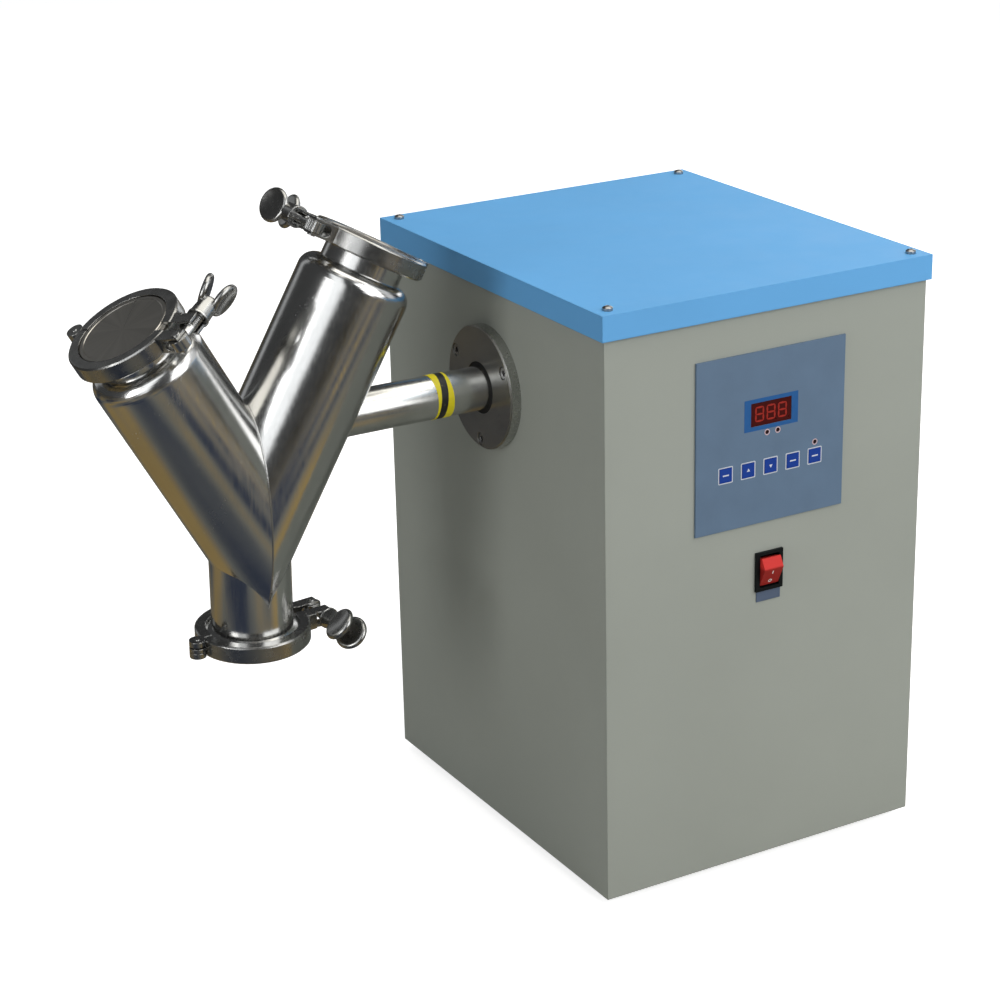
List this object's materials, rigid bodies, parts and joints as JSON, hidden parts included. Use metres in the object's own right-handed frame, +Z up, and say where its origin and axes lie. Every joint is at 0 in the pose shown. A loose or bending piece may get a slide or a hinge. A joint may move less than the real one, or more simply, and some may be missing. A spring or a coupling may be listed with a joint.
{
  "type": "v-blender",
  "caption": "Bench powder mixer: a V-shaped steel drum with clamped caps on a shaft beside a sheet-steel cabinet with a keypad, display and rocker switch.",
  "frame": {"origin": "middle of the cabinet's underside, 8 mm above the floor that the rubber feet stand on", "axes": "+Z up; -Y is the front with the control panel; the shaft runs along X and carries the drum outside the -X wall"},
  "size_m": [0.642, 0.3564, 0.5649],
  "materials": {
    "body_paint": "smooth grey-beige powder coat",
    "lid_paint": "satin sky-blue paint",
    "polished_steel": "mirror-polished stainless steel",
    "turned_steel": "turned stainless steel",
    "cast_steel": "polished cast stainless steel",
    "inner_steel": "plain zinc-plated steel",
    "dark_screws": "blackened steel",
    "black_rubber": "matt black rubber",
    "white_gasket": "white silicone",
    "tape": "yellow and black marking tape",
    "panel": "slate-blue membrane",
    "key_blue": "blue keys with pale rims",
    "display_red": "dark red display window",
    "lamp_red": "small red lamps",
    "switch_black": "black plastic",
    "switch_red": "red translucent plastic",
    "board_green": "printed circuit board",
    "motor_paint": "dark grey paint",
    "brass": "plated brass"
  },
  "bodies": {
    "cabinet": {"cabinet_shell": "body_paint", "base_plate": "inner_steel", "top_lid": "lid_paint", "lid_screws": "dark_screws", "rubber_feet": "black_rubber", "bearing_flange": "turned_steel", "flange_screws": "cast_steel", "shaft_seal": "black_rubber", "bearing_housing": "inner_steel", "bearing_outer_rings": "turned_steel", "drive_belt": "black_rubber", "gearbox": "motor_paint", "motor": "motor_paint", "motor_stand": "inner_steel", "speed_drive": "board_green", "control_board": "board_green", "display_window": "display_red", "indicator_lamps": "lamp_red", "control_panel": "panel", "rocker_bezel": "switch_black", "switch_label": "panel", "power_inlet": "switch_black", "inlet_pins": "brass"},
    "power_switch": {"rocker": "switch_red"},
    "fuse_tray": {"fuse_drawer": "switch_black"},
    "gearbox_output": {"small_pulley": "inner_steel"},
    "drum": {"drive_shaft": "turned_steel", "bearing_inner_rings": "turned_steel", "large_pulley": "inner_steel", "marking_tape": "tape", "drum_shell": "polished_steel", "outer_cap": "turned_steel", "outer_gasket": "white_gasket", "outer_clamp_fixed_half": "cast_steel", "outer_clamp_pins": "turned_steel", "inner_cap": "turned_steel", "inner_gasket": "white_gasket", "inner_clamp_fixed_half": "cast_steel", "inner_clamp_pins": "turned_steel", "outlet_cap": "turned_steel", "outlet_gasket": "white_gasket", "outlet_clamp_fixed_half": "cast_steel", "outlet_clamp_pins": "turned_steel"},
    "key_1": {"key_1": "key_blue"},
    "key_2": {"key_2": "key_blue"},
    "key_3": {"key_3": "key_blue"},
    "key_4": {"key_4": "key_blue"},
    "key_5": {"key_5": "key_blue"},
    "outer_swing_half": {"outer_clamp_swing_half": "cast_steel"},
    "outer_bolt": {"outer_swing_bolt": "turned_steel"},
    "outer_washer": {"outer_washer": "turned_steel"},
    "outer_nut": {"outer_wing_nut": "cast_steel"},
    "inner_swing_half": {"inner_clamp_swing_half": "cast_steel"},
    "inner_bolt": {"inner_swing_bolt": "turned_steel"},
    "inner_washer": {"inner_washer": "turned_steel"},
    "inner_nut": {"inner_wing_nut": "cast_steel"},
    "outlet_swing_half": {"outlet_clamp_swing_half": "cast_steel"},
    "outlet_bolt": {"outlet_swing_bolt": "turned_steel"},
    "outlet_washer": {"outlet_washer": "turned_steel"},
    "outlet_nut": {"outlet_wing_nut": "cast_steel"}
  },
  "joints": [
    {"name": "key_1_press", "type": "slide", "parent": "cabinet", "child": "key_1", "axis": [0, 1, 0], "range_m": [0, 0.0008], "stiffness_N_per_m": 900, "springref_m": -0.0003},
    {"name": "key_2_press", "type": "slide", "parent": "cabinet", "child": "key_2", "axis": [0, 1, 0], "range_m": [0, 0.0008], "stiffness_N_per_m": 900, "springref_m": -0.0003},
    {"name": "key_3_press", "type": "slide", "parent": "cabinet", "child": "key_3", "axis": [0, 1, 0], "range_m": [0, 0.0008], "stiffness_N_per_m": 900, "springref_m": -0.0003},
    {"name": "key_4_press", "type": "slide", "parent": "cabinet", "child": "key_4", "axis": [0, 1, 0], "range_m": [0, 0.0008], "stiffness_N_per_m": 900, "springref_m": -0.0003},
    {"name": "key_5_press", "type": "slide", "parent": "cabinet", "child": "key_5", "axis": [0, 1, 0], "range_m": [0, 0.0008], "stiffness_N_per_m": 900, "springref_m": -0.0003},
    {"name": "power_switch_rock", "type": "hinge", "parent": "cabinet", "child": "power_switch", "pos_m": [0.0016, -0.169, 0.2485], "axis": [-1, 0, 0], "range_deg": [0, 14]},
    {"name": "fuse_tray_slide", "type": "slide", "parent": "cabinet", "child": "fuse_tray", "axis": [0, 1, 0], "range_m": [0, 0.016]},
    {"name": "drum_spin", "type": "hinge", "parent": "cabinet", "child": "drum", "pos_m": [-0.36, 0, 0.38], "axis": [1, 0, 0], "continuous": true},
    {"name": "gearbox_output_spin", "type": "hinge", "parent": "cabinet", "child": "gearbox_output", "pos_m": [0, 0, 0.12], "axis": [1, 0, 0], "continuous": true},
    {"name": "outer_bolt_swing", "type": "hinge", "parent": "drum", "child": "outer_bolt", "pos_m": [-0.43142, -0.06173, 0.48115], "axis": [0.4848, 0.0366, -0.8739], "range_deg": [0, 100]},
    {"name": "outer_washer_travel", "type": "slide", "parent": "outer_bolt", "child": "outer_washer", "axis": [0.7722, 0.4511, 0.4473], "range_m": [0, 0.012]},
    {"name": "outer_nut_turn", "type": "hinge", "parent": "outer_washer", "child": "outer_nut", "pos_m": [-0.40864, -0.04842, 0.49435], "axis": [-0.7722, -0.4511, -0.4473], "range_deg": [0, 2880]},
    {"name": "outer_half_open", "type": "hinge", "parent": "drum", "child": "outer_swing_half", "pos_m": [-0.46904, 0.0402, 0.46455], "axis": [-0.4848, -0.0366, 0.8739], "range_deg": [0, 5.76]},
    {"name": "inner_bolt_swing", "type": "hinge", "parent": "drum", "child": "inner_bolt", "pos_m": [-0.30344, -0.02128, 0.53686], "axis": [0.4848, -0.0366, 0.8739], "range_deg": [0, 100]},
    {"name": "inner_washer_travel", "type": "slide", "parent": "inner_bolt", "child": "inner_washer", "axis": [-0.0762, 0.9936, 0.0839], "range_m": [0, 0.012]},
    {"name": "inner_nut_turn", "type": "hinge", "parent": "inner_washer", "child": "inner_nut", "pos_m": [-0.30569, 0.00803, 0.53934], "axis": [0.0762, -0.9936, -0.0839], "range_deg": [0, 2880]},
    {"name": "inner_half_open", "type": "hinge", "parent": "drum", "child": "inner_swing_half", "pos_m": [-0.20876, -0.00009, 0.48522], "axis": [-0.4848, 0.0366, -0.8739], "range_deg": [0, 5.76]},
    {"name": "outlet_bolt_swing", "type": "hinge", "parent": "drum", "child": "outlet_bolt", "pos_m": [-0.30161, 0.02359, 0.21685], "axis": [0, -0.0419, 0.9991], "range_deg": [0, 100]},
    {"name": "outlet_washer_travel", "type": "slide", "parent": "outlet_bolt", "child": "outlet_washer", "axis": [0.1219, -0.9917, -0.0416], "range_m": [0, 0.012]},
    {"name": "outlet_nut_turn", "type": "hinge", "parent": "outlet_washer", "child": "outlet_nut", "pos_m": [-0.29801, -0.00566, 0.21562], "axis": [-0.1219, 0.9917, 0.0416], "range_deg": [0, 2880]},
    {"name": "outlet_half_open", "type": "hinge", "parent": "drum", "child": "outlet_swing_half", "pos_m": [-0.40913, 0.00084, 0.21589], "axis": [0, 0.0419, -0.9991], "range_deg": [0, 5.76]}
  ],
  "couplings": [
    {"joint": "gearbox_output_spin", "follows": "drum_spin", "ratio": 2},
    {"joint": "outer_nut_turn", "follows": "outer_washer_travel", "rad_per_m": 4188.8},
    {"joint": "outer_half_open", "follows": "outer_washer_travel", "rad_per_m": 8.3682},
    {"joint": "inner_nut_turn", "follows": "inner_washer_travel", "rad_per_m": 4188.8},
    {"joint": "inner_half_open", "follows": "inner_washer_travel", "rad_per_m": 8.3682},
    {"joint": "outlet_nut_turn", "follows": "outlet_washer_travel", "rad_per_m": 4188.8},
    {"joint": "outlet_half_open", "follows": "outlet_washer_travel", "rad_per_m": 8.3682}
  ]
}
